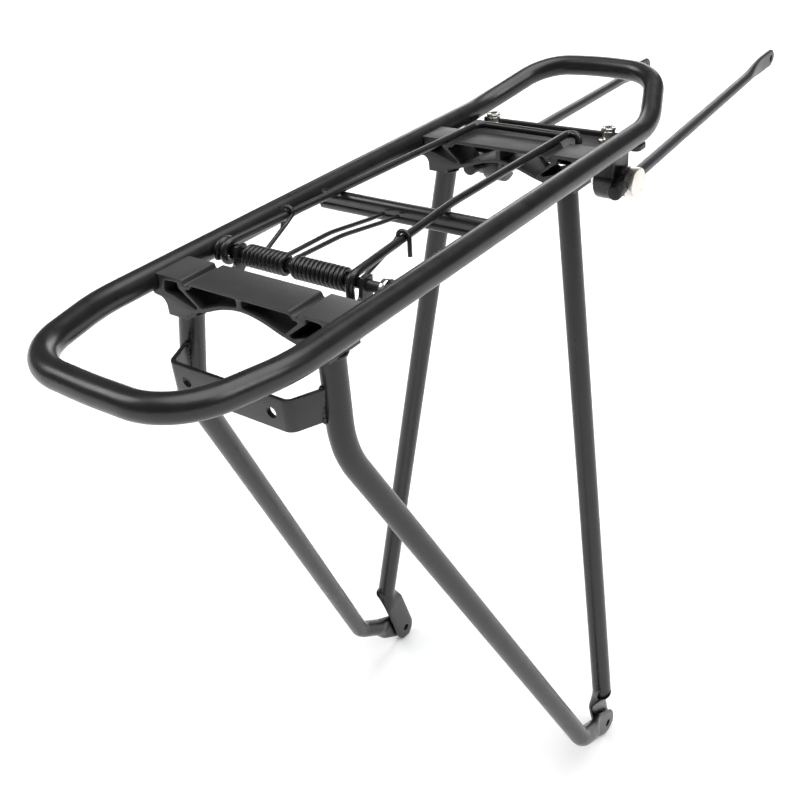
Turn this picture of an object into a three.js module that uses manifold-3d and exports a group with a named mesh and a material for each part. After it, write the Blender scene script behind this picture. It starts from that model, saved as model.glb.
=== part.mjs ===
// Rear rack for a bicycle: a tubular platform on four legs, with a sprung wire flap and two adjustable stays.
// Millimetres. X to the bicycle's right, Y forward, Z up, square to the platform.
// The origin is midway between the two dropout eyelets.
import * as THREE from 'three';
import { mergeVertices } from 'three/addons/utils/BufferGeometryUtils.js';
import Module from 'manifold-3d';

const wasm = await Module();
wasm.setup();

// ---------------------------------------------------------------- driving dimensions
const GAP = 0.3; // between pieces that touch

const TUBE_R = 6; // platform loop and legs
const RAIL_X = 55.9; // centre of each straight rail
const RAIL_Z = 384.5; // height of the rails' centre above the eyelets

const LOOP_REAR = { taperY: -210, taperR: 75, cornerX: 42.5, cornerY: -257.3, cornerR: 31, endY: -258.6 };
const LOOP_FRONT = { taperY: 97, taperR: 69, cornerX: 37.5, cornerY: 143.8, cornerR: 28.5, endY: 147.3 };
const END_BOW_R = 190; // radius of the slight bow across each end
const KICK_Y = 96; // the front end rises from here
const KICK_SLOPE = 0.33;
const KICK_SOFT = 8; // length over which the rise begins

const BRIDGE_TOP = 388;
const BRIDGE_HALF = 56; // the profile runs out under the rails and is saddled round them
const BRIDGE_WALL = 1.9;
const GROOVE_X = 31.6; // each plate is parted by a groove here
const GROOVE_HALF = 2;
const GROOVE_DEPTH = 3.2;
const ARCH_TOP = 380.4; // underside of the arch at the middle
const ARCH_X = 30; // the arch springs from here
const ARCH_Z = 372.3;
const NODE_X = 41.5; // the leg meets the profile here
const NODE_Z = 368.2;
const REAR_BRIDGE_Y = [-181, -160.5];
const FRONT_BRIDGE_Y = [23.5, 43.2];

const PLATE_Y = [43.6, 89.4]; // slotted plate in front of the front bridge
const PLATE_Z = [375.5, 378.3];
const PLATE_HALF = 59;
const EAR_REAR_Y = 77.5; // the plate's ears reach out under the rails in front of this
const LIP_Y = 87;
const LIP_TOP = 381.3;
const SLOT_X = 39.9;
const SLOT_Y = 81.4;
const SLOT_LENGTH = 12;
const SLOT_WIDTH = 6.6;

const CROSSBAR_Y = -65.5;
const CROSSBAR_UPPER = { z: 384.3, r: 3.2 };
const CROSSBAR_LOWER = { z: 379.6, r: 2.9 };
const RAIL_INNER = RAIL_X - TUBE_R - GAP;

const REAR_LEG = {
  top: [41.2, -172.4, NODE_Z + 3],
  knee: [45.9, -178.4, 324],
  kneeR: 48,
  heel: [91.5, -42.6, 29.7],
  heelR: 19,
};
const FRONT_LEG = { top: [38.9, 30.8, NODE_Z + 3], ankle: [90.2, -11.4, 40], ankleR: 26 };
const EYELET_X = 86.6; // face where the two flattened ends of one side meet
const TAB_THICK = 3.4;
const TAB_HALF = 9.2; // half the width of a flattened end
const EYELET_HOLE_R = 2.7;
const REAR_TAB = { flat: 27, blend: 16 }; // lengths of the flattened end and of the change to round tube
const FRONT_TAB = { flat: 41, blend: 15 };

const LIGHT_Y = -196.4; // rear face of the tail light bracket
const LIGHT_Z = [339.5, 354.8];
const LIGHT_HALF = 34.5;
const LIGHT_THICK = 2.4;
const LIGHT_HOLE_X = 25.4;
const LIGHT_HOLE_R = 2.7;
const LIGHT_ARM_END = [41.6, -179.6]; // inside the leg, which is cut out of the arm with a gap for the weld
const LIGHT_BEND_R = 4;

const AXLE = { y: -141, z: 384, r: 2.5 };
const CLIP = { x: [46.2, 49.4], r: 5 }; // bright ring pushed onto the axle's right end
const LUG_X = [36, 38.2];

const FLAP_R = 2;
const FLAP_LOOP_R = AXLE.r + FLAP_R + GAP; // arm wire wound round the axle
const FLAP_REST_Z = BRIDGE_TOP + FLAP_R + GAP;
// turn is how far each arm's rear end is wound round the axle, drift how far outward, and tailZ where it ends
const FLAP_LEFT = { rearX: -42.8, frontX: -28.3, turn: -2.45 * Math.PI, drift: 4.8, tailZ: 381 };
const FLAP_RIGHT = { rearX: 32.2, midX: 27, frontX: 28, turn: -0.5 * Math.PI, drift: -0.8, tailZ: 373 };
const ARM_LEVEL_Y = CROSSBAR_Y - 10; // the arms rise from the axle and are level from here on
const FLAP_MID_Y = -60;
const FLAP_FRONT_Y = 49.5;
const FLAP_CURL_Y = 52.5; // where the right arm's end turns outward and curls down

const SPRING_R = 1.1; // spring wire
const COIL_R = 4.4; // to the middle of the wire
const COIL_PITCH = 2.5;
const HOOK_Y = -104; // the outer leg hooks over the flap's arm here
const HOOK_LEG_Y = -130; // it runs straight forward as far as this
const HOOK_LEG_SHIFT = 0.8; // outward from the last turn, so that it swings clear of the coil
const SPRINGS = {
  left: { innerX: -8.2, side: -1, restX: -8.4, turns: 9.45 },
  right: { innerX: -2.2, side: 1, restX: 0.5, turns: 11.45 },
};

const CLAMP_X = 38.2; // clamp screw, near the inner end of its slot
const WASHER_R = 5.4;
const WASHER_THICK = 1.1;
const SCREW_R = 2.5;
const SCREW_HEAD = { r: 4.3, rimThick: 2.2, neckR: 3.5, height: 6.6, socketDepth: 3.2, socketAF: 4 };
const SCREW_TIP_Z = 364;
const BRACKET_X = [32, 44.5];
const BRACKET_Y = [75.6, 96.4];
const BARREL_R = 11.4; // round lower part of the bracket, about the eye bolt
const EYE_Y = 86;
const EYE_Z = 354.3;
const EYE_HEAD_R = 8.8;
const EYE_HEAD_X = [50.2, 56]; // bright outer disc
const EYE_BOSS_R = 6.1; // it carries the cross hole for the stay
const EYE_BOSS_X = 44.8;
const EYE_SHANK_R = 3;
const EYE_SHANK_X = 24;
const EYE_NUT = { thick: 5, acrossFlats: 10 };

const STAY_R = 3.6;
const STAY_X = 49.2; // stay's axis where it passes through the eye
const STAY_DIR = { left: [-0.047, 0.9985, -0.0285], right: [-0.0423, 0.9988, 0.0232] };
const STAY_BACK = 17.5; // from the eye to the stay's rear end
const STAY_FRONT = 271; // from the eye to the stay's front tip
const STAY_HOLE = 264;
const STAY_TAB = { flat: 22, blend: 40, thick: 3.2, halfWidth: 6.2 };

const SIDES = { left: -1, right: 1 };

// ---------------------------------------------------------------- materials
const finish = (color, roughness, metalness) => {
  return new THREE.MeshStandardMaterial({ color, roughness, metalness });
};
const BLACK = finish(0x242326, 0.5, 0.35);
const BRIDGE_BLACK = finish(0x3a393b, 0.7, 0.3);
const STAY_BLACK = finish(0x3c3b40, 0.5, 0.4);
const SPRING_BLACK = finish(0x1d1c20, 0.4, 0.5);
const RUBBER = finish(0x0c0c0d, 0.85, 0);
const NICKEL = finish(0xc9c5bd, 0.25, 1);

// ---------------------------------------------------------------- shape helpers
const vec = (x, y, z) => new THREE.Vector3(x, y, z);

// A path through given stations, with the mitre direction at each, so that a sweep has a ring only where
// it bends.
class StationPath extends THREE.Curve {
  constructor(stations, closed = false) {
    super();
    this.stations = stations;
    this.closed = closed;
    this.steps = closed ? stations.length : stations.length - 1;
  }

  getPoint(t) {
    return this.stations[Math.round(t * this.steps) % this.stations.length].clone();
  }

  getPointAt(u) {
    return this.getPoint(u);
  }

  getSpacedPoints() {
    return this.stations.map((point) => point.clone());
  }

  getTangentAt(u) {
    const count = this.stations.length;
    const i = Math.round(u * this.steps) % count;
    const before = this.closed ? this.stations[(i - 1 + count) % count] : this.stations[Math.max(i - 1, 0)];
    const after = this.closed ? this.stations[(i + 1) % count] : this.stations[Math.min(i + 1, count - 1)];
    const here = this.stations[i];
    const incoming = here.clone().sub(before).normalize();
    const outgoing = after.clone().sub(here).normalize();
    return incoming.add(outgoing).normalize();
  }
}

// Corners joined by straight lines, each inner corner rounded by an arc of its own radius.
function rounded(corners, radii, closed = false, stepsPerQuarter = 7) {
  const points = [];
  const count = corners.length;
  for (let i = 0; i < count; i += 1) {
    const corner = corners[i];
    const radius = radii[i];
    const isEnd = !closed && (i === 0 || i === count - 1);
    if (isEnd || !radius) {
      points.push(corner.clone());
      continue;
    }
    const toBefore = corners[(i - 1 + count) % count].clone().sub(corner).normalize();
    const toAfter = corners[(i + 1) % count].clone().sub(corner).normalize();
    const half = toBefore.angleTo(toAfter) / 2;
    const bisector = toBefore.clone().add(toAfter).normalize();
    const centre = corner.clone().addScaledVector(bisector, radius / Math.sin(half));
    const first = corner.clone().addScaledVector(toBefore, radius / Math.tan(half)).sub(centre);
    const last = corner.clone().addScaledVector(toAfter, radius / Math.tan(half)).sub(centre);
    const turn = first.angleTo(last);
    const steps = Math.max(2, Math.ceil((turn / (Math.PI / 2)) * stepsPerQuarter));
    const turnAxis = first.clone().cross(last).normalize();
    for (let k = 0; k <= steps; k += 1) {
      points.push(first.clone().applyAxisAngle(turnAxis, (turn * k) / steps).add(centre));
    }
  }
  return points;
}

function circleShape(radius, sides) {
  const points = [];
  for (let i = 0; i < sides; i += 1) {
    const angle = (2 * Math.PI * i) / sides;
    points.push(new THREE.Vector2(radius * Math.cos(angle), radius * Math.sin(angle)));
  }
  return new THREE.Shape(points);
}

function rod(stations, radius, sides = 12) {
  const path = new StationPath(stations);
  const options = { steps: path.steps, extrudePath: path, bevelEnabled: false };
  return new THREE.ExtrudeGeometry(circleShape(radius, sides), options);
}

function closedRod(stations, radius, sides) {
  const path = new StationPath(stations, true);
  return new THREE.TubeGeometry(path, path.steps, radius, sides, true);
}

function toSolid(geometry) {
  const plain = geometry.index ? geometry.toNonIndexed() : geometry.clone();
  plain.deleteAttribute('normal');
  plain.deleteAttribute('uv');
  const merged = mergeVertices(plain, 1e-4);
  const vertProperties = new Float32Array(merged.attributes.position.array);
  const triVerts = new Uint32Array(merged.index.array);
  return new wasm.Manifold(new wasm.Mesh({ numProp: 3, vertProperties, triVerts }));
}

function toGeometry(solid) {
  const mesh = solid.getMesh();
  const geometry = new THREE.BufferGeometry();
  geometry.setAttribute('position', new THREE.BufferAttribute(new Float32Array(mesh.vertProperties), 3));
  geometry.setIndex(new THREE.BufferAttribute(new Uint32Array(mesh.triVerts), 1));
  geometry.computeVertexNormals();
  return geometry;
}

const joined = (...geometries) => toGeometry(geometries.map(toSolid).reduce((sum, next) => sum.add(next)));
const cut = (geometry, ...tools) => {
  const rest = tools.map(toSolid).reduce((body, tool) => body.subtract(tool), toSolid(geometry));
  return toGeometry(rest);
};

// A cylinder between two values of x, y or z.
function barAlong(axis, from, to, radius, centre, sides = 24) {
  const geometry = new THREE.CylinderGeometry(radius, radius, Math.abs(to - from), sides);
  const middle = (from + to) / 2;
  if (axis === 'x') geometry.rotateZ(-Math.PI / 2).translate(middle, centre[0], centre[1]);
  if (axis === 'y') geometry.translate(centre[0], middle, centre[1]);
  if (axis === 'z') geometry.rotateX(Math.PI / 2).translate(centre[0], centre[1], middle);
  return geometry;
}

function block(xs, ys, zs) {
  const geometry = new THREE.BoxGeometry(Math.abs(xs[1] - xs[0]), ys[1] - ys[0], zs[1] - zs[0]);
  return geometry.translate((xs[0] + xs[1]) / 2, (ys[0] + ys[1]) / 2, (zs[0] + zs[1]) / 2);
}

// An outline in x and z, pushed through from one y to another.
function extrudedAlongY(shape, ys, curveSegments = 5) {
  const depth = ys[1] - ys[0];
  const geometry = new THREE.ExtrudeGeometry(shape, { depth, bevelEnabled: false, curveSegments });
  return geometry.rotateX(Math.PI / 2).translate(0, ys[1], 0);
}

// An outline in y and z, pushed through from one x to another.
function extrudedAlongX(shape, xs) {
  const depth = Math.abs(xs[1] - xs[0]);
  const geometry = new THREE.ExtrudeGeometry(shape, { depth, bevelEnabled: false, curveSegments: 8 });
  return geometry.rotateY(Math.PI / 2).rotateX(Math.PI / 2).translate(Math.min(xs[0], xs[1]), 0, 0);
}

function hexPrismAlong(axis, from, to, acrossFlats, centre) {
  return barAlong(axis, from, to, acrossFlats / Math.sqrt(3), centre, 6);
}

const smooth = (t) => {
  const s = Math.min(Math.max(t, 0), 1);
  return s * s * (3 - 2 * s);
};

// Squeezes the last stretch of a round rod into a tab that is thin along X and has a round end.
function flattenEnd(geometry, { tip, direction, flat, blend, radius, thick, halfWidth, middleX }) {
  const along = direction.clone().normalize();
  const across = vec(1, 0, 0).cross(along).normalize();
  const position = geometry.attributes.position;
  for (let i = 0; i < position.count; i += 1) {
    const point = vec(position.getX(i), position.getY(i), position.getZ(i));
    const back = tip.clone().sub(point).dot(along);
    if (back > flat + blend) continue;
    const axisPoint = tip.clone().addScaledVector(along, -back);
    const offset = point.sub(axisPoint);
    const squeeze = smooth((flat + blend - back) / blend);
    const roundEnd = Math.sqrt(Math.max(halfWidth ** 2 - Math.max(halfWidth - back, 0) ** 2, 0));
    const endWidth = Math.max(roundEnd, halfWidth * 0.3);
    const widthScale = THREE.MathUtils.lerp(1, endWidth / radius, squeeze);
    const flatX = THREE.MathUtils.clamp((offset.x * thick) / radius, -thick / 2, thick / 2);
    const shiftX = THREE.MathUtils.lerp(0, middleX - axisPoint.x, squeeze);
    const placed = axisPoint.clone().addScaledVector(across, offset.dot(across) * widthScale);
    placed.x += THREE.MathUtils.lerp(offset.x, flatX, squeeze) + shiftX;
    position.setXYZ(i, placed.x, placed.y, placed.z);
  }
  return geometry;
}

// Stations for a rod whose end is flattened: evenly over the blend, then close together round the tip.
function withTabStations(stations, { flat, blend, halfWidth }) {
  const tip = stations[stations.length - 1];
  const along = tip.clone().sub(stations[stations.length - 2]).normalize();
  const backs = [1, 0.75, 0.5, 0.25, 0].map((share) => flat + blend * share);
  const ends = [1, 0.6, 0.28, 0.1, 0].map((share) => halfWidth * share);
  const flattened = [...backs, ...ends].map((back) => tip.clone().addScaledVector(along, -back));
  return [...stations.slice(0, -1), ...flattened];
}

// ---------------------------------------------------------------- frame
const riseAt = (y) => KICK_SLOPE * KICK_SOFT * Math.log1p(Math.exp((y - KICK_Y) / KICK_SOFT));

function loopStations() {
  const ends = [LOOP_FRONT, LOOP_REAR];
  const corners = [];
  const radii = [];
  for (const [index, end] of ends.entries()) {
    const side = index === 0 ? 1 : -1;
    const run = [
      [side * RAIL_X, end.taperY, end.taperR],
      [side * end.cornerX, end.cornerY, end.cornerR],
      [0, end.endY, END_BOW_R],
      [-side * end.cornerX, end.cornerY, end.cornerR],
      [-side * RAIL_X, end.taperY, end.taperR],
    ];
    for (const [x, y, radius] of run) {
      corners.push(vec(x, y, 0));
      radii.push(radius);
    }
  }
  return rounded(corners, radii, true, 7).map((point) => vec(point.x, point.y, RAIL_Z + riseAt(point.y)));
}

// The closed outline of the extruded bridge profile, in x and z.
function bridgeOutline() {
  const shape = new THREE.Shape();
  const top = BRIDGE_TOP;
  const grooveFloor = top - GROOVE_DEPTH;
  shape.moveTo(-BRIDGE_HALF, top);
  for (const side of [-1, 1]) {
    const outer = side * GROOVE_X - GROOVE_HALF;
    const inner = side * GROOVE_X + GROOVE_HALF;
    shape.lineTo(outer - 1, top);
    shape.quadraticCurveTo(outer, top, outer, top - 1);
    shape.lineTo(outer + 0.8, grooveFloor);
    shape.lineTo(inner - 0.8, grooveFloor);
    shape.lineTo(inner, top - 1);
    shape.quadraticCurveTo(inner, top, inner + 1, top);
  }
  shape.lineTo(BRIDGE_HALF, top);
  shape.lineTo(BRIDGE_HALF, 377.2);
  shape.quadraticCurveTo(NODE_X + 6.4, 376, NODE_X + 6, NODE_Z);
  shape.lineTo(NODE_X - 6, NODE_Z);
  shape.quadraticCurveTo(NODE_X - 8, ARCH_Z - 2.5, ARCH_X, ARCH_Z);
  shape.quadraticCurveTo(ARCH_X * 0.52, ARCH_TOP, 0, ARCH_TOP);
  shape.quadraticCurveTo(-ARCH_X * 0.52, ARCH_TOP, -ARCH_X, ARCH_Z);
  shape.quadraticCurveTo(-NODE_X + 8, ARCH_Z - 2.5, -NODE_X + 6, NODE_Z);
  shape.lineTo(-NODE_X - 6, NODE_Z);
  shape.quadraticCurveTo(-NODE_X - 6.4, 376, -BRIDGE_HALF, 377.2);
  shape.closePath();
  return shape;
}

// The windows of one half of the profile, as outlines with rounded corners.
function bridgeWindows(side) {
  const under = BRIDGE_TOP - BRIDGE_WALL;
  const grooveUnder = BRIDGE_TOP - GROOVE_DEPTH - BRIDGE_WALL;
  const outlines = [
    {
      radius: 1.4,
      corners: [
        [3.2, under], [28.2, under], [29, grooveUnder], [34.6, grooveUnder + 0.4],
        [26, 377.4], [14.5, 381.2], [2.6, 382.6],
      ],
    },
    {
      radius: 1.2,
      corners: [
        [38, under], [46.4, under], [47.6, 379.6], [39, 377.6],
        [30.2, 374.6], [29, 376.6], [38.6, 382.6],
      ],
    },
    { radius: 1, corners: [[36, 374.2], [46, 376.4], [45.4, 371.4], [38, 370.6]] },
  ];
  return outlines.map(({ radius, corners }) => {
    const points = corners.map(([x, z]) => vec(side * x, z, 0));
    const path = rounded(points, points.map(() => radius), true, 2);
    return new THREE.Shape(path.map((point) => new THREE.Vector2(point.x, point.y)));
  });
}

function bridge(ys) {
  const [rear, front] = ys;
  const through = [rear - 1, front + 1];
  const windows = [...bridgeWindows(-1), ...bridgeWindows(1)].map((shape) => extrudedAlongY(shape, through));
  const saddles = [-1, 1].map((side) => {
    return barAlong('y', through[0], through[1], TUBE_R + GAP, [side * RAIL_X, RAIL_Z], 28);
  });
  const trims = [-1, 1].map((side) => {
    const inner = side * (RAIL_X - 5.4);
    const outer = side * (BRIDGE_HALF + 2);
    return block([Math.min(inner, outer), Math.max(inner, outer)], through, [RAIL_Z - 2, BRIDGE_TOP + 1]);
  });
  return cut(extrudedAlongY(bridgeOutline(), ys), ...windows, ...saddles, ...trims);
}

function slotTool(centreX) {
  const reach = (SLOT_LENGTH - SLOT_WIDTH) / 2;
  const zs = [PLATE_Z[0] - 1, LIP_TOP + 1];
  const half = SLOT_WIDTH / 2;
  const ends = [-1, 1].map((side) => barAlong('z', zs[0], zs[1], half, [centreX + side * reach, SLOT_Y]));
  const middle = block([centreX - reach, centreX + reach], [SLOT_Y - half, SLOT_Y + half], zs);
  return joined(middle, ...ends);
}

function frontPlate() {
  const base = block([-PLATE_HALF, PLATE_HALF], PLATE_Y, PLATE_Z);
  const lip = block([-RAIL_INNER, RAIL_INNER], [LIP_Y, PLATE_Y[1]], [PLATE_Z[0], LIP_TOP]);
  const saddles = [-1, 1].map((side) => {
    return barAlong('y', PLATE_Y[0] - 1, PLATE_Y[1] + 1, TUBE_R + GAP, [side * RAIL_X, RAIL_Z], 28);
  });
  const cornerCuts = [-1, 1].map((side) => {
    const xs = [side * (RAIL_INNER + 1), side * (PLATE_HALF + 1)].sort((a, b) => a - b);
    return block(xs, [PLATE_Y[0] - 1, EAR_REAR_Y], [PLATE_Z[0] - 1, LIP_TOP + 1]);
  });
  return cut(joined(base, lip), ...saddles, ...cornerCuts, slotTool(-SLOT_X), slotTool(SLOT_X));
}

function crossbar() {
  const { z: upperZ, r: upperR } = CROSSBAR_UPPER;
  const { z: lowerZ, r: lowerR } = CROSSBAR_LOWER;
  const upper = barAlong('x', -RAIL_INNER, RAIL_INNER, upperR, [CROSSBAR_Y, upperZ], 20);
  const lower = barAlong('x', -RAIL_INNER, RAIL_INNER, lowerR, [CROSSBAR_Y, lowerZ], 20);
  const web = block([-RAIL_INNER, RAIL_INNER], [CROSSBAR_Y - 1.8, CROSSBAR_Y + 1.8], [lowerZ, upperZ]);
  return joined(upper, lower, web);
}

function rearLeg(side) {
  const { top, knee, kneeR, heel, heelR } = REAR_LEG;
  const tabX = EYELET_X + TAB_THICK / 2;
  const heelPoint = vec(side * heel[0], heel[1], heel[2]);
  const direction = vec(side * tabX, 0, 0).sub(heelPoint).normalize();
  const tip = vec(side * tabX, 0, 0).addScaledVector(direction, TAB_HALF);
  const corners = [vec(side * top[0], top[1], top[2]), vec(side * knee[0], knee[1], knee[2]), heelPoint, tip];
  const tab = { tip, direction, ...REAR_TAB, radius: TUBE_R, thick: TAB_THICK - GAP, halfWidth: TAB_HALF };
  tab.middleX = side * (tabX + GAP / 2);
  const stations = withTabStations(rounded(corners, [0, kneeR, heelR, 0], false, 6), tab);
  const leg = flattenEnd(rod(stations, TUBE_R, 14), tab);
  return cut(leg, eyeletTool(side), aboveNode(side, REAR_BRIDGE_Y));
}

function frontLeg(side) {
  const { top, ankle, ankleR } = FRONT_LEG;
  const tabX = EYELET_X - TAB_THICK / 2;
  const eyelet = vec(side * tabX, 0, 0);
  const anklePoint = vec(side * ankle[0], ankle[1], ankle[2]);
  const direction = eyelet.clone().sub(anklePoint).normalize();
  const tip = eyelet.clone().addScaledVector(direction, TAB_HALF);
  const corners = [vec(side * top[0], top[1], top[2]), anklePoint, tip];
  const tab = { tip, direction, ...FRONT_TAB, radius: TUBE_R, thick: TAB_THICK - GAP, halfWidth: TAB_HALF };
  tab.middleX = side * (tabX - GAP / 2);
  const stations = withTabStations(rounded(corners, [0, ankleR, 0], false, 6), tab);
  const leg = flattenEnd(rod(stations, TUBE_R, 14), tab);
  return cut(leg, eyeletTool(side), aboveNode(side, FRONT_BRIDGE_Y));
}

// What is taken off a leg so that its top is square to the bridge's underside.
function aboveNode(side, ys) {
  const xs = [side * (NODE_X - 12), side * (NODE_X + 12)].sort((a, b) => a - b);
  return block(xs, [ys[0] - 4, ys[1] + 4], [NODE_Z - GAP, NODE_Z + 9]);
}

function eyeletTool(side) {
  return barAlong('x', side * (EYELET_X - 8), side * (EYELET_X + 8), EYELET_HOLE_R, [0, 0], 20);
}

// ---------------------------------------------------------------- tail light bracket
function lightBracket() {
  const [endX, endY] = LIGHT_ARM_END;
  const faceY = LIGHT_Y + LIGHT_THICK / 2;
  const corners = [];
  for (const side of [-1, 1]) {
    const run = [vec(side * endX, endY, 0), vec(side * LIGHT_HALF, faceY, 0)];
    corners.push(...(side < 0 ? run : run.reverse()));
  }
  const line = rounded(corners, [0, LIGHT_BEND_R, LIGHT_BEND_R, 0], false, 4);
  const outline = ribbon(line, LIGHT_THICK);
  const plate = new THREE.ExtrudeGeometry(outline, { depth: LIGHT_Z[1] - LIGHT_Z[0], bevelEnabled: false });
  plate.translate(0, 0, LIGHT_Z[0]);
  const holeZ = (LIGHT_Z[0] + LIGHT_Z[1]) / 2;
  const holes = [-1, 1].map((side) => {
    return barAlong('y', LIGHT_Y - 5, LIGHT_Y + 8, LIGHT_HOLE_R, [side * LIGHT_HOLE_X, holeZ], 20);
  });
  const legs = [-1, 1].map((side) => {
    const ends = [REAR_LEG.top, REAR_LEG.knee].map(([x, y, z]) => vec(side * x, y, z));
    return rod(ends, TUBE_R + GAP, 28);
  });
  return cut(plate, ...holes, ...legs);
}

// The outline of a strip of even thickness that follows a line in x and y.
function ribbon(line, thickness) {
  const leftSide = [];
  const rightSide = [];
  const path = new StationPath(line);
  for (const [i, point] of line.entries()) {
    const direction = path.getTangentAt(i / path.steps);
    const before = line[Math.max(i - 1, 0)];
    const after = line[Math.min(i + 1, line.length - 1)];
    const cosHalf = Math.cos(after.clone().sub(point).angleTo(point.clone().sub(before)) / 2) || 1;
    const isEnd = i === 0 || i === line.length - 1;
    const reach = thickness / 2 / (isEnd ? 1 : cosHalf);
    leftSide.push(new THREE.Vector2(point.x - direction.y * reach, point.y + direction.x * reach));
    rightSide.unshift(new THREE.Vector2(point.x + direction.y * reach, point.y - direction.x * reach));
  }
  return new THREE.Shape([...leftSide, ...rightSide]);
}

// ---------------------------------------------------------------- spring axle, springs and flap
function axleLug(side) {
  const rearY = REAR_BRIDGE_Y[1] + GAP;
  const outline = [
    [rearY, 372.5], [AXLE.y - 2.5, 374.2], [AXLE.y + 3.6, 379.2], [AXLE.y + 4.2, 388],
    [AXLE.y - 2.8, 388.4], [AXLE.y - 4.4, 384], [AXLE.y - 5.4, 379.4], [rearY, 379],
  ];
  const shape = new THREE.Shape(outline.map(([y, z]) => new THREE.Vector2(y, z)));
  const [inner, outer] = LUG_X;
  const hole = barAlong('x', side * (inner - 1), side * (outer + 1), AXLE.r + GAP, [AXLE.y, AXLE.z], 20);
  return cut(extrudedAlongX(shape, [side * inner, side * outer]), hole);
}

function axleClip() {
  const [low, high] = CLIP.x;
  const ring = barAlong('x', low, high, CLIP.r, [AXLE.y, AXLE.z], 20);
  return cut(ring, barAlong('x', low - 1, high + 1, AXLE.r + GAP, [AXLE.y, AXLE.z], 20));
}

// Points on a helix about the axle. The angle is measured from straight up, towards the front.
function helix(radius, fromX, toX, fromAngle, toAngle, stepsPerTurn) {
  const steps = Math.ceil((Math.abs(toAngle - fromAngle) / (2 * Math.PI)) * stepsPerTurn);
  const points = [];
  for (let k = 0; k <= steps; k += 1) {
    const share = k / steps;
    const angle = THREE.MathUtils.lerp(fromAngle, toAngle, share);
    const x = THREE.MathUtils.lerp(fromX, toX, share);
    points.push(vec(x, AXLE.y + radius * Math.sin(angle), AXLE.z + radius * Math.cos(angle)));
  }
  return points;
}

// One arm of the flap, from its tail, over or round the axle and forward to the front.
function armStations(side, arm, frontPoints) {
  const turns = helix(FLAP_LOOP_R, arm.rearX + side * arm.drift, arm.rearX, arm.turn, 0, 12);
  const tail = turns[0].clone().setZ(arm.tailZ);
  return [tail, ...turns, ...frontPoints];
}

const armHeightAt = (y) => {
  const share = (y - AXLE.y) / (ARM_LEVEL_Y - AXLE.y);
  return THREE.MathUtils.lerp(AXLE.z + FLAP_LOOP_R, FLAP_REST_Z, Math.min(share, 1));
};

const armXAt = {
  left: (y) => THREE.MathUtils.mapLinear(y, AXLE.y, FLAP_FRONT_Y, FLAP_LEFT.rearX, FLAP_LEFT.frontX),
  right: (y) => {
    const { rearX, midX, frontX } = FLAP_RIGHT;
    if (y < FLAP_MID_Y) return THREE.MathUtils.mapLinear(y, AXLE.y, FLAP_MID_Y, rearX, midX);
    return THREE.MathUtils.mapLinear(y, FLAP_MID_Y, FLAP_FRONT_Y, midX, frontX);
  },
};

function flap() {
  const z = FLAP_REST_Z;
  const nearAxle = AXLE.y + 4;
  const leftCorners = [
    vec(armXAt.left(nearAxle), nearAxle, armHeightAt(nearAxle)),
    vec(armXAt.left(ARM_LEVEL_Y), ARM_LEVEL_Y, z),
    vec(FLAP_LEFT.frontX, FLAP_FRONT_Y, z),
    vec(FLAP_RIGHT.frontX, FLAP_FRONT_Y - 1.5, z),
  ];
  const leftWire = armStations(-1, FLAP_LEFT, rounded(leftCorners, [0, 60, 7, 0]));
  const rightCorners = [
    vec(armXAt.right(nearAxle), nearAxle, armHeightAt(nearAxle)),
    vec(FLAP_RIGHT.midX, FLAP_MID_Y, armHeightAt(FLAP_MID_Y)),
    vec(FLAP_RIGHT.frontX, FLAP_CURL_Y, z),
    vec(FLAP_RIGHT.frontX + 6.8, FLAP_CURL_Y - 1.2, z),
    vec(FLAP_RIGHT.frontX + 8, FLAP_CURL_Y - 2.4, z - 4.5),
  ];
  const rightWire = armStations(1, FLAP_RIGHT, rounded(rightCorners, [0, 60, 3.2, 3, 0]));
  return joined(rod(leftWire, FLAP_R, 8), rod(rightWire, FLAP_R, 8));
}

// The part of a torsion spring that stays with the frame: the inner leg and the coil.
function springCoil({ innerX, side, restX, turns: count }) {
  const outerX = innerX + side * COIL_PITCH * count;
  const start = vec(restX, CROSSBAR_Y - 3.9, 382);
  const leg = [start, vec(THREE.MathUtils.lerp(innerX, restX, 0.45), -108, 386.6)];
  const turns = helix(COIL_R, innerX, outerX, 0, -2 * Math.PI * count, 9);
  return rod([...leg, ...turns], SPRING_R, 6);
}

// The outer leg of a torsion spring, which moves with the flap and hooks over its arm.
function springHook(name, { innerX, side, turns }) {
  const outerX = innerX + side * COIL_PITCH * turns;
  const armX = armXAt[name](HOOK_Y);
  const armZ = armHeightAt(HOOK_Y);
  const reach = FLAP_R + SPRING_R + GAP;
  const legX = outerX + side * HOOK_LEG_SHIFT;
  const start = vec(legX, AXLE.y + 0.3, AXLE.z - COIL_R);
  const pastLug = vec(legX, HOOK_LEG_Y, AXLE.z - 2.6);
  const below = vec(armX - side * reach, HOOK_Y - 5, armZ - 3);
  const hook = [];
  for (let k = 0; k <= 8; k += 1) {
    const angle = Math.PI * (1 - k / 8);
    hook.push(vec(armX + side * reach * Math.cos(angle), HOOK_Y, armZ + reach * Math.sin(angle)));
  }
  const tail = vec(armX + side * (reach + 0.8), HOOK_Y - 1.5, armZ - 8);
  return rod([start, pastLug, below, ...hook, tail], SPRING_R, 8);
}

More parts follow.
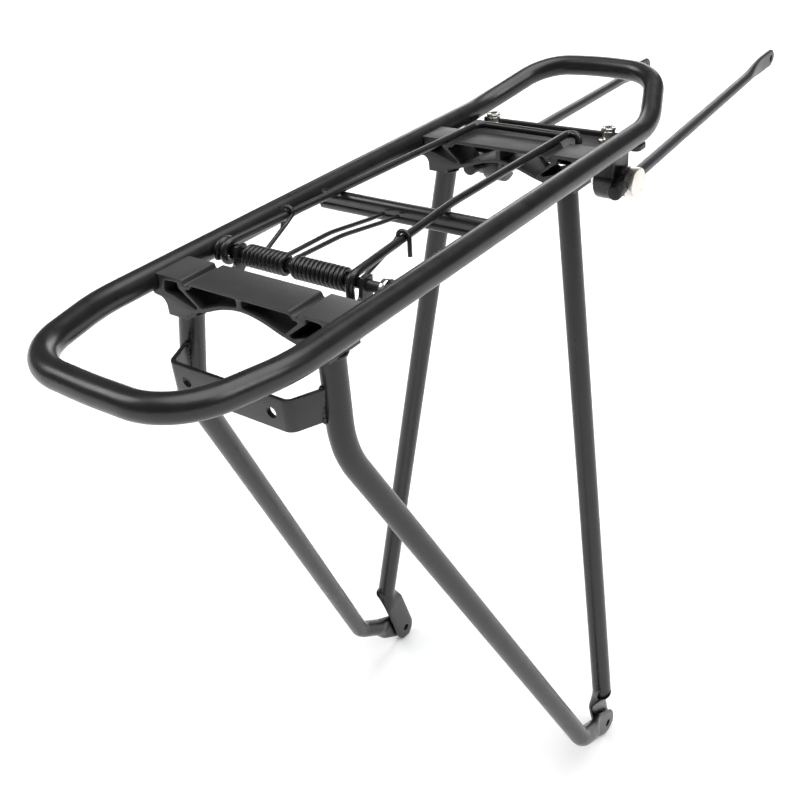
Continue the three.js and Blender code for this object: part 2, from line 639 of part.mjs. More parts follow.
// ---------------------------------------------------------------- stay clamps
function stayBracket(side) {
  const top = PLATE_Z[0] - GAP;
  const waist = (BRACKET_Y[1] - BRACKET_Y[0]) / 2;
  const spread = Math.asin(waist / BARREL_R); // half the angle between the two corners above the barrel
  const shape = new THREE.Shape();
  shape.moveTo(BRACKET_Y[0], top);
  shape.absarc(EYE_Y, EYE_Z, BARREL_R, Math.PI / 2 + spread, 2.5 * Math.PI - spread, false);
  shape.lineTo(BRACKET_Y[1], top);
  shape.closePath();
  const [inner, outer] = BRACKET_X;
  const body = extrudedAlongX(shape, [side * inner, side * outer]);
  const boltHole = barAlong('x', side * (inner - 1), side * (outer + 1), EYE_SHANK_R + GAP, [EYE_Y, EYE_Z]);
  const screwHole = barAlong('z', SCREW_TIP_Z - 1, top + 1, SCREW_R + GAP, [side * CLAMP_X, SLOT_Y]);
  return cut(body, boltHole, screwHole);
}

function stayDirection(side) {
  return vec(...(side < 0 ? STAY_DIR.left : STAY_DIR.right)).normalize();
}

function stayPoint(side, along) {
  return vec(side * STAY_X, EYE_Y, EYE_Z).addScaledVector(stayDirection(side), along);
}

function eyeBore(side) {
  return rod([stayPoint(side, -14), stayPoint(side, 14)], STAY_R + GAP, 24);
}

function eyeBolt(side) {
  const at = [EYE_Y, EYE_Z];
  const head = barAlong('x', side * EYE_HEAD_X[0], side * EYE_HEAD_X[1], EYE_HEAD_R, at, 32);
  const boss = barAlong('x', side * EYE_BOSS_X, side * (EYE_HEAD_X[0] + 1), EYE_BOSS_R, at, 24);
  const shank = barAlong('x', side * EYE_SHANK_X, side * (EYE_BOSS_X + 1), EYE_SHANK_R, at, 16);
  return cut(joined(head, boss, shank), eyeBore(side));
}

// The black ring that grips the stay between the bracket and the bolt's bright disc.
function stayCollar(side) {
  const at = [EYE_Y, EYE_Z];
  const ring = barAlong('x', side * EYE_BOSS_X, side * (EYE_HEAD_X[0] - GAP), EYE_HEAD_R, at, 32);
  const inside = barAlong('x', side * (EYE_BOSS_X - 1), side * (EYE_HEAD_X[0] + 1), EYE_BOSS_R + GAP, at, 24);
  return cut(ring, inside, eyeBore(side));
}

function eyeNut(side) {
  const outer = BRACKET_X[0] - GAP;
  const place = [EYE_Y, EYE_Z];
  const nut = hexPrismAlong('x', side * outer, side * (outer - EYE_NUT.thick), EYE_NUT.acrossFlats, place);
  const hole = barAlong('x', side * (EYE_SHANK_X - 1), side * BRACKET_X[1], EYE_SHANK_R + GAP, place, 16);
  return cut(nut, hole);
}

function stayRod(side) {
  const tip = stayPoint(side, STAY_FRONT);
  const hole = stayPoint(side, STAY_HOLE);
  const tab = { tip, direction: stayDirection(side), ...STAY_TAB, radius: STAY_R, middleX: hole.x };
  const stations = withTabStations([stayPoint(side, -STAY_BACK), tip], tab);
  const bar = flattenEnd(rod(stations, STAY_R, 14), tab);
  return cut(bar, barAlong('x', hole.x - 6, hole.x + 6, EYELET_HOLE_R, [hole.y, hole.z], 18));
}

function stayCap(side) {
  const outer = rod([stayPoint(side, -STAY_BACK - 2.4), stayPoint(side, -STAY_BACK + 5.2)], STAY_R + 0.8, 14);
  const socket = [stayPoint(side, -STAY_BACK - GAP), stayPoint(side, -STAY_BACK + 8)];
  return cut(outer, rod(socket, STAY_R + GAP, 14));
}

function clampScrew(side) {
  const centre = [side * CLAMP_X, SLOT_Y];
  const { r, rimThick, neckR, height, socketDepth, socketAF } = SCREW_HEAD;
  const seat = PLATE_Z[1] + WASHER_THICK + 1.5 * GAP;
  const top = seat + height;
  const rim = barAlong('z', top - rimThick, top, r, centre, 24);
  const neck = barAlong('z', seat, top - rimThick + 0.5, neckR, centre, 24);
  const shank = barAlong('z', SCREW_TIP_Z, seat + 1, SCREW_R, centre, 16);
  const socket = hexPrismAlong('z', top - socketDepth, top + 1, socketAF, centre);
  return cut(joined(rim, neck, shank), socket);
}

function clampWasher(side) {
  const centre = [side * CLAMP_X, SLOT_Y];
  const low = PLATE_Z[1] + GAP / 2;
  const disc = barAlong('z', low, low + WASHER_THICK, WASHER_R, centre, 24);
  return cut(disc, barAlong('z', low - 1, low + WASHER_THICK + 1, SCREW_R + GAP, centre, 16));
}

// ---------------------------------------------------------------- assembly
const rack = new THREE.Group();

function add(name, geometry, material) {
  const mesh = new THREE.Mesh(geometry, material);
  mesh.name = name;
  rack.add(mesh);
}

add('platform_loop', closedRod(loopStations(), TUBE_R, 16), BLACK);
add('rear_bridge', bridge(REAR_BRIDGE_Y), BRIDGE_BLACK);
add('front_bridge', bridge(FRONT_BRIDGE_Y), BRIDGE_BLACK);
add('front_plate', frontPlate(), BLACK);
add('mid_crossbar', crossbar(), BLACK);
add('light_bracket', lightBracket(), BLACK);
add('spring_axle', barAlong('x', -RAIL_INNER, RAIL_INNER, AXLE.r, [AXLE.y, AXLE.z], 20), BLACK);
add('axle_clip', axleClip(), NICKEL);
add('spring_flap', flap(), BLACK);

for (const [name, side] of Object.entries(SIDES)) {
  add(`rear_leg_${name}`, rearLeg(side), BLACK);
  add(`front_leg_${name}`, frontLeg(side), BLACK);
  add(`axle_lug_${name}`, axleLug(side), BLACK);
  add(`spring_coil_${name}`, springCoil(SPRINGS[name]), SPRING_BLACK);
  add(`spring_hook_${name}`, springHook(name, SPRINGS[name]), SPRING_BLACK);
  add(`stay_bracket_${name}`, stayBracket(side), BLACK);
  add(`clamp_screw_${name}`, clampScrew(side), NICKEL);
  add(`clamp_washer_${name}`, clampWasher(side), NICKEL);
  add(`eye_bolt_${name}`, eyeBolt(side), NICKEL);
  add(`stay_collar_${name}`, stayCollar(side), BLACK);
  add(`eye_nut_${name}`, eyeNut(side), NICKEL);
  add(`stay_rod_${name}`, stayRod(side), STAY_BLACK);
  add(`stay_cap_${name}`, stayCap(side), RUBBER);
}

export default rack;
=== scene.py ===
"""A bicycle rear rack in satin black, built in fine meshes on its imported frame.

Lengths in this script are millimetres, turned into metres as each mesh is made.
X is the bicycle's right, Y forward and Z up, and the origin is midway between the dropout eyelets.
"""
import math

import bmesh
import bpy
from mathutils import Matrix, Quaternion, Vector


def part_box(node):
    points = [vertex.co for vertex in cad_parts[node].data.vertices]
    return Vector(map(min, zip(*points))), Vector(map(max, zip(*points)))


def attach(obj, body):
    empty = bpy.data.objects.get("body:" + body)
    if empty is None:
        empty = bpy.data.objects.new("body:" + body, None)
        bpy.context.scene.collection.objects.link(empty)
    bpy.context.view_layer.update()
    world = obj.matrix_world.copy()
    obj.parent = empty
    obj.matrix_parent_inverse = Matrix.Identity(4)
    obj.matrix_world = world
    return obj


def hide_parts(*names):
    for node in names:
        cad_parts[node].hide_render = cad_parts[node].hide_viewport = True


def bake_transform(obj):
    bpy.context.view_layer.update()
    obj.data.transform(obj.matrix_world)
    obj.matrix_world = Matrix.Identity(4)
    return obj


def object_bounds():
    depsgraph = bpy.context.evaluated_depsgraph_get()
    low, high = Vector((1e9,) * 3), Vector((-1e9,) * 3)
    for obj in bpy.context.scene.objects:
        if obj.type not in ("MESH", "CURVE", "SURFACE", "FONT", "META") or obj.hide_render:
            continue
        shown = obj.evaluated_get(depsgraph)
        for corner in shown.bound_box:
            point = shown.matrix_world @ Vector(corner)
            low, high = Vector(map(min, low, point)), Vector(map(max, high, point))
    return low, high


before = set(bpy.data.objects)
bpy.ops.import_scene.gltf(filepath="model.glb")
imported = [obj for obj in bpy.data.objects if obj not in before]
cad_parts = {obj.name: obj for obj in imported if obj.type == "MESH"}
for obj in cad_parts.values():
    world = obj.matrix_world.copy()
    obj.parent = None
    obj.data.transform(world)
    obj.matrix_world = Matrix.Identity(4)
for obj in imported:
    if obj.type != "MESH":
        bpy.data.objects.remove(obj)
cad_box = [list(corner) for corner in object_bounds()]

MM = 0.001
SIDES = {"left": -1, "right": 1}


def node_box(node):
    """Lowest and highest corner of a CAD node, in millimetres."""
    low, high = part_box(node)
    return Vector(low) / MM, Vector(high) / MM


# ---------------------------------------------------------------- driving dimensions
# They come from the frame where it has them.
TUBE_R = 6
loop_low, loop_high = node_box("platform_loop")
RAIL_X = loop_high.x - TUBE_R
RAIL_Z = loop_low.z + TUBE_R
LOOP_REAR = {"taper_y": -210, "taper_r": 75, "corner": (42.5, -257.3), "corner_r": 31,
             "end_y": loop_low.y + TUBE_R}
LOOP_FRONT = {"taper_y": 97, "taper_r": 69, "corner": (37.5, 143.8), "corner_r": 28.5, "end_y": 147.3}
END_BOW_R = 190
KICK_Y = 96  # the platform's front end rises from here
KICK_SLOPE = 0.33
KICK_SOFT = 8

rear_low, rear_high = node_box("rear_bridge")
front_low, front_high = node_box("front_bridge")
BRIDGE_TOP = rear_high.z
NODE_Z = rear_low.z
NODE_X = 41.5
GROOVE_X = 31.6

AXLE_R = 2.5
axle_low, axle_high = node_box("spring_axle")
AXLE_Y = (axle_low.y + axle_high.y) / 2
AXLE_Z = (axle_low.z + axle_high.z) / 2

REAR_LEG = {"top": (41.2, -172.4, NODE_Z + 3), "knee": (45.9, -178.4, 324), "knee_r": 48,
            "heel": (91.5, -42.6, 29.7), "heel_r": 19}
FRONT_LEG = {"top": (38.9, 30.8, NODE_Z + 3), "ankle": (90.2, -11.4, 40), "ankle_r": 26}
TOP_WELDS = {"rear": (41.3, -172.2), "front": (39.3, 30.9)}
EYELET_X = 86.6
TAB_THICK = 3.4
TAB_HALF = 9.2
REAR_TAB = {"flat": 27, "blend": 16}
FRONT_TAB = {"flat": 41, "blend": 15}
M5_HOLE_R = 2.7
FACE_GAP = 0.3

LIGHT_THICK = 2.4
LIGHT_HALF = 34.5
LIGHT_BEND_R = 4.5
LIGHT_HOLE_X = 25.4
LIGHT_ARM_END = (41.6, -179.6)

FLAP_R = 2
FLAP_REST_Z = node_box("spring_flap")[1].z - FLAP_R
FLAP_LOOP_R = AXLE_R + FLAP_R + FACE_GAP
# turn is how far an arm's rear end is wound round the axle, drift how far outward, and tail_z where it ends.
FLAP_LEFT = {"rear_x": -42.8, "front_x": -28.3, "turn": -2.45 * math.pi, "drift": 4.8, "tail_z": 381}
FLAP_RIGHT = {"rear_x": 32.2, "mid_x": 27, "front_x": 28, "turn": -0.5 * math.pi, "drift": -0.8,
              "tail_z": 373}
FLAP_MID_Y = -60
FLAP_FRONT_Y = 49.5
FLAP_CURL_Y = 52.5
CROSSBAR_Y = -65.5
CROSSBAR_HALF = 51.6
CROSSBAR_UPPER = {"z": 384.3, "r": 3.2}
CROSSBAR_LOWER = {"z": 379.6, "r": 2.9}

SPRING_R = 1.1
COIL_R = 4.4
COIL_PITCH = 2.5
HOOK_Y = -104  # a spring's outer leg hooks over the flap's arm here
HOOK_LEG_Y = -130
HOOK_LEG_SHIFT = 0.8
SPRINGS = {"left": {"inner_x": -8.2, "rest_x": -8.4, "turns": 9.45},
           "right": {"inner_x": -2.2, "rest_x": 0.5, "turns": 11.45}}

plate_low, plate_high = node_box("front_plate")
PLATE_THICK = 2.8
PLATE_TOP = plate_low.z + PLATE_THICK
LIP_Y = 87
EAR_REAR_Y = 77.5
CLAMP_X = 38.2
SLOT_X = 39.9
SLOT_Y = 81.4
SLOT_LENGTH = 12
SLOT_WIDTH = 6.6

EYE_Y = 86
EYE_Z = 354.3
EYE_HEAD_R = 8.8
EYE_HEAD_X = (50.2, 56)
EYE_BOSS_R = 6.1
EYE_BOSS_X = 44.8
EYE_SHANK_R = 3
BARREL_R = 11.4
BRACKET_HALF_Y = 10.4
BRACKET_CORNER = 1.2
SCREW_TIP_Z = 364
EYE_NUT_ACROSS = 10
SOCKET_ACROSS = 4
SOCKET_DEPTH = 3.2
HEAD_HEIGHT = 6.6
HEAD_NECK_R = 3.5
STAY_X = 49.2
STAY_R = 3.6
STAY_DIRECTION = {-1: (-0.047, 0.9985, -0.0285), 1: (-0.0423, 0.9988, 0.0232)}
STAY_BACK = 17.5  # from the eye bolt to the stay's rear end
STAY_FRONT = 271  # and to its front tip
STAY_HOLE = 264
STAY_TAB = {"flat": 22, "blend": 40, "thick": 3.2, "half": 6.2}
CAP_WALL = 0.8


# ---------------------------------------------------------------- materials
def new_material(name):
    material = bpy.data.materials.new(name)
    material.use_nodes = True
    nodes = material.node_tree.nodes
    return material, nodes, material.node_tree.links, nodes["Principled BSDF"]


def add_node(nodes, kind, **inputs):
    node = nodes.new(kind)
    for key, value in inputs.items():
        node.inputs[key.replace("_", " ")].default_value = value
    return node


def noise_on(nodes, links, scale, detail=4.0, roughness=0.55):
    """Noise fixed to the piece's own coordinates, in features per metre."""
    place = nodes.new("ShaderNodeTexCoord")
    noise = add_node(nodes, "ShaderNodeTexNoise", Scale=scale, Detail=detail, Roughness=roughness)
    links.new(place.outputs["Object"], noise.inputs["Vector"])
    return noise


def ramp(nodes, links, source, stops):
    """A colour ramp, stops being (position, grey or colour)."""
    node = nodes.new("ShaderNodeValToRGB")
    elements = node.color_ramp.elements
    while len(elements) < len(stops):
        elements.new(0.5)
    for element, (position, colour) in zip(elements, stops):
        element.position = position
        element.color = (colour, colour, colour, 1) if isinstance(colour, (int, float)) else (*colour, 1)
    links.new(source, node.inputs["Fac"])
    return node


def coated_metal(name, dark, light, rough, bump=0.05, grain=900.0, edge_highlight=None):
    """Powder coat or paint: an uneven tone, a fine orange peel and a painted highlight that lightens convex
    edges.
    """
    material, nodes, links, shader = new_material(name)
    tone = noise_on(nodes, links, 55.0)
    colour = ramp(nodes, links, tone.outputs["Fac"], [(0.32, dark), (0.72, light)])
    base = colour.outputs["Color"]
    # Painted highlight: convex edges, found by pointiness, are mixed towards the lighter colour.
    if edge_highlight:
        geometry = nodes.new("ShaderNodeNewGeometry")
        edge = ramp(nodes, links, geometry.outputs["Pointiness"], [(0.52, 0.0), (0.60, 1.0)])
        mix = nodes.new("ShaderNodeMix")
        mix.data_type = "RGBA"
        links.new(edge.outputs["Color"], mix.inputs["Factor"])
        links.new(base, mix.inputs["A"])
        mix.inputs["B"].default_value = (*edge_highlight, 1)
        base = mix.outputs["Result"]
    links.new(base, shader.inputs["Base Color"])
    patches = noise_on(nodes, links, 140.0, 3.0)
    gloss = ramp(nodes, links, patches.outputs["Fac"], [(0.3, rough - 0.04), (0.7, rough + 0.05)])
    links.new(gloss.outputs["Color"], shader.inputs["Roughness"])
    peel = noise_on(nodes, links, grain, 2.0, 0.5)
    relief = add_node(nodes, "ShaderNodeBump", Strength=bump, Distance=0.0004)
    links.new(peel.outputs["Fac"], relief.inputs["Height"])
    links.new(relief.outputs["Normal"], shader.inputs["Normal"])
    shader.inputs["Specular IOR Level"].default_value = 0.5
    return material


def bright_metal(name, dark, light, rough, streaks):
    """Plated or turned steel, with fine marks stretched along one of the piece's axes."""
    material, nodes, links, shader = new_material(name)
    place = nodes.new("ShaderNodeTexCoord")
    stretch = nodes.new("ShaderNodeMapping")
    stretch.inputs["Scale"].default_value = streaks
    links.new(place.outputs["Object"], stretch.inputs["Vector"])
    marks = add_node(nodes, "ShaderNodeTexNoise", Scale=1.0, Detail=6.0, Roughness=0.6)
    links.new(stretch.outputs["Vector"], marks.inputs["Vector"])
    tone = ramp(nodes, links, marks.outputs["Fac"], [(0.3, dark), (0.7, light)])
    links.new(tone.outputs["Color"], shader.inputs["Base Color"])
    gloss = ramp(nodes, links, marks.outputs["Fac"], [(0.25, rough - 0.05), (0.75, rough + 0.08)])
    links.new(gloss.outputs["Color"], shader.inputs["Roughness"])
    relief = add_node(nodes, "ShaderNodeBump", Strength=0.08, Distance=0.0002)
    links.new(marks.outputs["Fac"], relief.inputs["Height"])
    links.new(relief.outputs["Normal"], shader.inputs["Normal"])
    shader.inputs["Metallic"].default_value = 1.0
    return material


def rubber_material():
    material, nodes, links, shader = new_material("cap_rubber")
    tone = noise_on(nodes, links, 400.0, 5.0)
    stops = [(0.3, (0.004, 0.004, 0.004)), (0.75, (0.008, 0.008, 0.009))]
    colour = ramp(nodes, links, tone.outputs["Fac"], stops)
    links.new(colour.outputs["Color"], shader.inputs["Base Color"])
    gloss = ramp(nodes, links, tone.outputs["Fac"], [(0.3, 0.42), (0.7, 0.58)])
    links.new(gloss.outputs["Color"], shader.inputs["Roughness"])
    relief = add_node(nodes, "ShaderNodeBump", Strength=0.2, Distance=0.0003)
    links.new(tone.outputs["Fac"], relief.inputs["Height"])
    links.new(relief.outputs["Normal"], shader.inputs["Normal"])
    return material


def floor_material():
    material, nodes, links, shader = new_material("studio_floor")
    tone = noise_on(nodes, links, 3.0)
    colour = ramp(nodes, links, tone.outputs["Fac"], [(0.3, 0.86), (0.7, 0.88)])
    links.new(colour.outputs["Color"], shader.inputs["Base Color"])
    shader.inputs["Roughness"].default_value = 0.9
    shader.inputs["Specular IOR Level"].default_value = 0.1
    return material


# The last colour given to each coat is a painted highlight for its convex edges.
FRAME_BLACK = coated_metal("frame_black", (0.005, 0.0048, 0.0052), (0.009, 0.0086, 0.0094), 0.3,
                           edge_highlight=(0.014, 0.0135, 0.015))
BRIDGE_BLACK = coated_metal("bridge_black", (0.012, 0.0118, 0.012), (0.018, 0.0176, 0.018), 0.47,
                            bump=0.09, grain=1600.0, edge_highlight=(0.035, 0.0345, 0.035))
STAY_BLACK = coated_metal("stay_black", (0.012, 0.012, 0.013), (0.02, 0.0196, 0.021), 0.38,
                          edge_highlight=(0.034, 0.034, 0.036))
WIRE_BLACK = coated_metal("wire_black", (0.006, 0.0058, 0.0065), (0.011, 0.0105, 0.0115), 0.3, bump=0.04)
CAP_RUBBER = rubber_material()
NICKEL = bright_metal("nickel", (0.62, 0.60, 0.56), (0.84, 0.82, 0.78), 0.16, (90, 90, 900))
DISC_NICKEL = bright_metal("nickel_turned", (0.66, 0.63, 0.58), (0.80, 0.77, 0.72), 0.3, (900, 260, 260))


# ---------------------------------------------------------------- mesh helpers
def finished(name, mesh, material, body, nodes=(), sharp=32):
    """Links a mesh that is in millimetres as a piece, shaded smooth up to the sharp angle.

    It rides on the body, unless that is None, when it is left unattached.
    """
    mesh.transform(Matrix.Scale(MM, 4))
    for polygon in mesh.polygons:
        polygon.use_smooth = True
    mesh.set_sharp_from_angle(angle=math.radians(sharp))
    mesh.materials.clear()
    mesh.materials.append(material)
    piece = bpy.data.objects.new(name, mesh)
    bpy.context.scene.collection.objects.link(piece)
    if body:
        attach(piece, body)
    if nodes:
        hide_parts(*nodes)
    return piece


def rounded(corners, radii, closed=False, step=2.5):
    """Straight lines between corners, with an arc at each inner corner and a point every step degrees."""
    points = []
    count = len(corners)
    for i, (corner, radius) in enumerate(zip(corners, radii)):
        corner = Vector(corner)
        if not radius or (not closed and i in (0, count - 1)):
            points.append(corner)
            continue
        back = (Vector(corners[i - 1]) - corner).normalized()
        ahead = (Vector(corners[(i + 1) % count]) - corner).normalized()
        half = back.angle(ahead) / 2
        centre = corner + (back + ahead).normalized() * (radius / math.sin(half))
        first = corner + back * (radius / math.tan(half)) - centre
        last = corner + ahead * (radius / math.tan(half)) - centre
        turn = first.angle(last)
        axis = first.cross(last).normalized()
        steps = max(2, math.ceil(math.degrees(turn) / step))
        points += [centre + Quaternion(axis, turn * k / steps) @ first for k in range(steps + 1)]
    return points


def tangents(points, closed):
    count = len(points)
    found = []
    for i, here in enumerate(points):
        before = points[i - 1] if closed or i else here
        after = points[(i + 1) % count] if closed or i < count - 1 else here
        into = (here - before).normalized() if before is not here else Vector()
        out = (after - here).normalized() if after is not here else Vector()
        found.append((into + out).normalized())
    return found


def sweep(points, radius, sides=40, closed=False, dome=0.0, start_up=None):
    """A round bar along points, as a mesh. dome rounds over the rims of its two ends by that much."""
    stations = [(point, radius) for point in points]
    if dome and not closed:
        lead = (points[0] - points[1]).normalized()
        trail = (points[-1] - points[-2]).normalized()
        rims = [(math.sin(a), 1 - math.cos(a)) for a in (math.radians(d) for d in (0, 22.5, 45, 67.5, 90))]
        head = [(points[0] - lead * dome * (1 - s), radius - dome * c) for s, c in rims]
        tail = [(points[-1] - trail * dome * (1 - s), radius - dome * c) for s, c in rims]
        stations = head[::-1] + stations[1:-1] + tail
    spots = [station[0] for station in stations]
    ways = tangents(spots, closed)
    if dome and not closed:
        for k in range(5):
            ways[k] = -lead
            ways[-1 - k] = trail
    mesh = bmesh.new()
    up = Vector(start_up) if start_up else ways[0].orthogonal()
    up = (up - ways[0] * up.dot(ways[0])).normalized()
    rings = []
    previous = ways[0]
    for (spot, size), way in zip(stations, ways):
        up = previous.rotation_difference(way) @ up
        up = (up - way * up.dot(way)).normalized()
        side = way.cross(up)
        previous = way
        ring = []
        for k in range(sides):
            angle = 2 * math.pi * k / sides
            ring.append(mesh.verts.new(spot + (up * math.cos(angle) + side * math.sin(angle)) * size))
        rings.append(ring)
    pairs = list(zip(rings, rings[1:]))
    if closed:
        shift = closing_shift(rings[-1], rings[0])
        pairs.append((rings[-1], rings[0][shift:] + rings[0][:shift]))
    for low, high in pairs:
        for k in range(sides):
            mesh.faces.new((low[k], low[(k + 1) % sides], high[(k + 1) % sides], high[k]))
    if not closed:
        mesh.faces.new(rings[0][::-1])
        mesh.faces.new(rings[-1])
    return to_mesh(mesh)


def closing_shift(last, first):
    """How far round the first ring starts from the last, where a closed bar's ends meet."""
    sides = len(first)

    def reach(shift):
        return sum((last[k].co - first[(k + shift) % sides].co).length for k in range(0, sides, 8))

    return min(range(sides), key=reach)


def to_mesh(built):
    bmesh.ops.recalc_face_normals(built, faces=built.faces)
    mesh = bpy.data.meshes.new("piece")
    built.to_mesh(mesh)
    built.free()
    return mesh


def slab(outlines, low, high, edge=0.3, plane="XY"):
    """A flat outline with holes, pushed through from low to high, its edges rounded by edge.

    plane XY pushes along Z, XZ along Y and YZ along X.
    """
    curve = bpy.data.curves.new("outline", "CURVE")
    curve.dimensions = "2D"
    curve.fill_mode = "BOTH"
    curve.extrude = (high - low) / 2 - edge
    curve.bevel_depth = edge
    curve.bevel_resolution = 2
    curve.offset = -edge
    for outline in outlines:
        spline = curve.splines.new("POLY")
        spline.points.add(len(outline) - 1)
        spline.use_cyclic_u = True
        for point, (a, b) in zip(spline.points, outline):
            point.co = (a, b, 0, 1)
    shape = bpy.data.objects.new("outline", curve)
    bpy.context.scene.collection.objects.link(shape)
    bpy.context.view_layer.update()
    mesh = bpy.data.meshes.new_from_object(shape.evaluated_get(bpy.context.evaluated_depsgraph_get()))
    bpy.data.objects.remove(shape)
    bpy.data.curves.remove(curve)
    built = bmesh.new()
    built.from_mesh(mesh)
    bpy.data.meshes.remove(mesh)
    bmesh.ops.remove_doubles(built, verts=built.verts, dist=0.004)
    middle = (low + high) / 2
    turned = {
        "XY": Matrix(((1, 0, 0, 0), (0, 1, 0, 0), (0, 0, 1, middle), (0, 0, 0, 1))),
        "XZ": Matrix(((1, 0, 0, 0), (0, 0, -1, middle), (0, 1, 0, 0), (0, 0, 0, 1))),
        "YZ": Matrix(((0, 0, 1, middle), (1, 0, 0, 0), (0, 1, 0, 0), (0, 0, 0, 1))),
    }[plane]
    bmesh.ops.transform(built, matrix=turned, verts=built.verts)
    return to_mesh(built)


def turned_part(profile, axis, place, sides=48):
    """A turned part. profile lists (distance along the axis, radius), and starts and ends on the axis."""
    built = bmesh.new()
    rotation = {
        "x": Matrix.Rotation(math.pi / 2, 4, "Y"),
        "y": Matrix.Rotation(-math.pi / 2, 4, "X"),
        "z": Matrix(),
    }[axis]
    frame_at = Matrix.Translation(place) @ rotation
    angles = [2 * math.pi * k / sides for k in range(sides)]
    rings = []
    for along, radius in profile:
        if radius == 0:
            spots = [Vector((0, 0, along))]
        else:
            spots = [Vector((radius * math.cos(a), radius * math.sin(a), along)) for a in angles]
        rings.append([built.verts.new(frame_at @ spot) for spot in spots])
    for low, high in zip(rings, rings[1:]):
        for k in range(sides):
            n = (k + 1) % sides
            corners = [low[k % len(low)], low[n % len(low)], high[n % len(high)], high[k % len(high)]]
            unique = list(dict.fromkeys(corners))
            if len(unique) > 2:
                built.faces.new(unique)
    return to_mesh(built)


def combined(mesh, others, operation):
    """mesh joined with, cut by or limited to the others, all closed meshes."""
    base = bpy.data.objects.new("base", mesh)
    bpy.context.scene.collection.objects.link(base)
    tools = []
    for other in others:
        tool = bpy.data.objects.new("tool", other)
        bpy.context.scene.collection.objects.link(tool)
        step = base.modifiers.new("step", "BOOLEAN")
        step.operation = operation
        step.solver = "EXACT"
        step.object = tool
        tools.append(tool)
    bpy.context.view_layer.update()
    result = bpy.data.meshes.new_from_object(base.evaluated_get(bpy.context.evaluated_depsgraph_get()))
    for thing in [base, *tools]:
        data = thing.data
        bpy.data.objects.remove(thing)
        bpy.data.meshes.remove(data)
    return result


def cut(mesh, *tools):
    return combined(mesh, tools, "DIFFERENCE")


def union(mesh, *others):
    return combined(mesh, others, "UNION")


def overlap_of(mesh, other):
    return combined(mesh, [other], "INTERSECT")


def peg(axis, low, high, radius, place, sides=40, chamfer=0.0):
    """A turned pin between low and high on an axis, place giving the other two coordinates."""
    spot = {"x": (0, *place), "y": (place[0], 0, place[1]), "z": (*place, 0)}[axis]
    low, high = sorted((low, high))
    if chamfer:
        c = chamfer
        profile = [(low, 0), (low, radius - c), (low + 0.3 * c, radius - 0.3 * c), (low + c, radius),
                   (high - c, radius), (high - 0.3 * c, radius - 0.3 * c), (high, radius - c), (high, 0)]
    else:
        profile = [(low, 0), (low, radius), (high, radius), (high, 0)]
    return turned_part(profile, axis, spot, sides)


def hexagon(axis, low, high, across, place, chamfer=0.5):
    """A hexagon nut or socket, its corners turned off at both faces."""
    corner_r = across / math.sqrt(3)
    prism = peg(axis, low, high, corner_r, place, sides=6)
    if not chamfer:
        return prism
    return overlap_of(prism, peg(axis, low, high, corner_r * 1.02, place, sides=48, chamfer=chamfer))


def arc_points(centre, radius, start, end, steps):
    """Points on a circle between two angles in degrees, both ends included."""
    angles = [math.radians(start + (end - start) * k / steps) for k in range(steps + 1)]
    return [(centre[0] + radius * math.cos(a), centre[1] + radius * math.sin(a)) for a in angles]


def soft_corners(points, radii, step=15):
    """A closed flat outline with each corner rounded."""
    path = rounded([(x, y, 0) for x, y in points], radii, closed=True, step=step)
    return [(p.x, p.y) for p in path]


def smooth(t):
    s = min(max(t, 0), 1)
    return s * s * (3 - 2 * s)


def lerp(a, b, t):
    return a + (b - a) * t


def weld_bead(name, ring, radius):
    """A fillet of weld along a closed ring of points, with the ripples of a hand-laid bead."""
    mesh = sweep(ring, radius, sides=12, closed=True)
    for vertex in mesh.vertices:
        nearest = min(range(len(ring)), key=lambda k: (ring[k] - vertex.co).length)
        ripple = 1 + 0.12 * math.sin(nearest * 2.1)
        vertex.co = ring[nearest] + (vertex.co - ring[nearest]) * ripple
    finished(name, mesh, FRAME_BLACK, "root", sharp=60)


def weld_run(name, line, radius, phase):
    """An open run of weld along a line of points, its width and height uneven like a hand-laid bead."""
    mesh = sweep(line, radius, sides=12, dome=radius * 0.8)
    for vertex in mesh.vertices:
        nearest = min(range(len(line)), key=lambda k: (line[k] - vertex.co).length)
        swell = 1 + 0.22 * math.sin(nearest * 1.9 + phase) + 0.12 * math.sin(nearest * 4.3)
        vertex.co = line[nearest] + (vertex.co - line[nearest]) * swell
    finished(name, mesh, FRAME_BLACK, "root", sharp=60)


def circle_ring(centre, normal, radius, count=44):
    """Points on a circle in space."""
    across = Vector(normal).orthogonal().normalized()
    other = Vector(normal).normalized().cross(across)
    angles = [2 * math.pi * k / count for k in range(count)]
    return [Vector(centre) + (across * math.cos(a) + other * math.sin(a)) * radius for a in angles]


# ---------------------------------------------------------------- platform
def rise_at(y):
    return KICK_SLOPE * KICK_SOFT * math.log1p(math.exp((y - KICK_Y) / KICK_SOFT))


def platform_loop():
    corners, radii = [], []
    for side, end in ((1, LOOP_FRONT), (-1, LOOP_REAR)):
        for x, y, radius in (
            (side * RAIL_X, end["taper_y"], end["taper_r"]),
            (side * end["corner"][0], end["corner"][1], end["corner_r"]),
            (0, end["end_y"], END_BOW_R),
            (-side * end["corner"][0], end["corner"][1], end["corner_r"]),
            (-side * RAIL_X, end["taper_y"], end["taper_r"]),
        ):
            corners.append((x, y, 0))
            radii.append(radius)
    path = rounded(corners, radii, closed=True, step=2)
    path = [Vector((p.x, p.y, RAIL_Z + rise_at(p.y))) for p in path]
    finished("loop_tube", sweep(path, TUBE_R, sides=56, closed=True), FRAME_BLACK, "root", ["platform_loop"])


BRIDGE_WALL = 1.9
SADDLE_R = TUBE_R + FACE_GAP
GROOVE_HALF = 2.1
GROOVE_DEPTH = 2.6


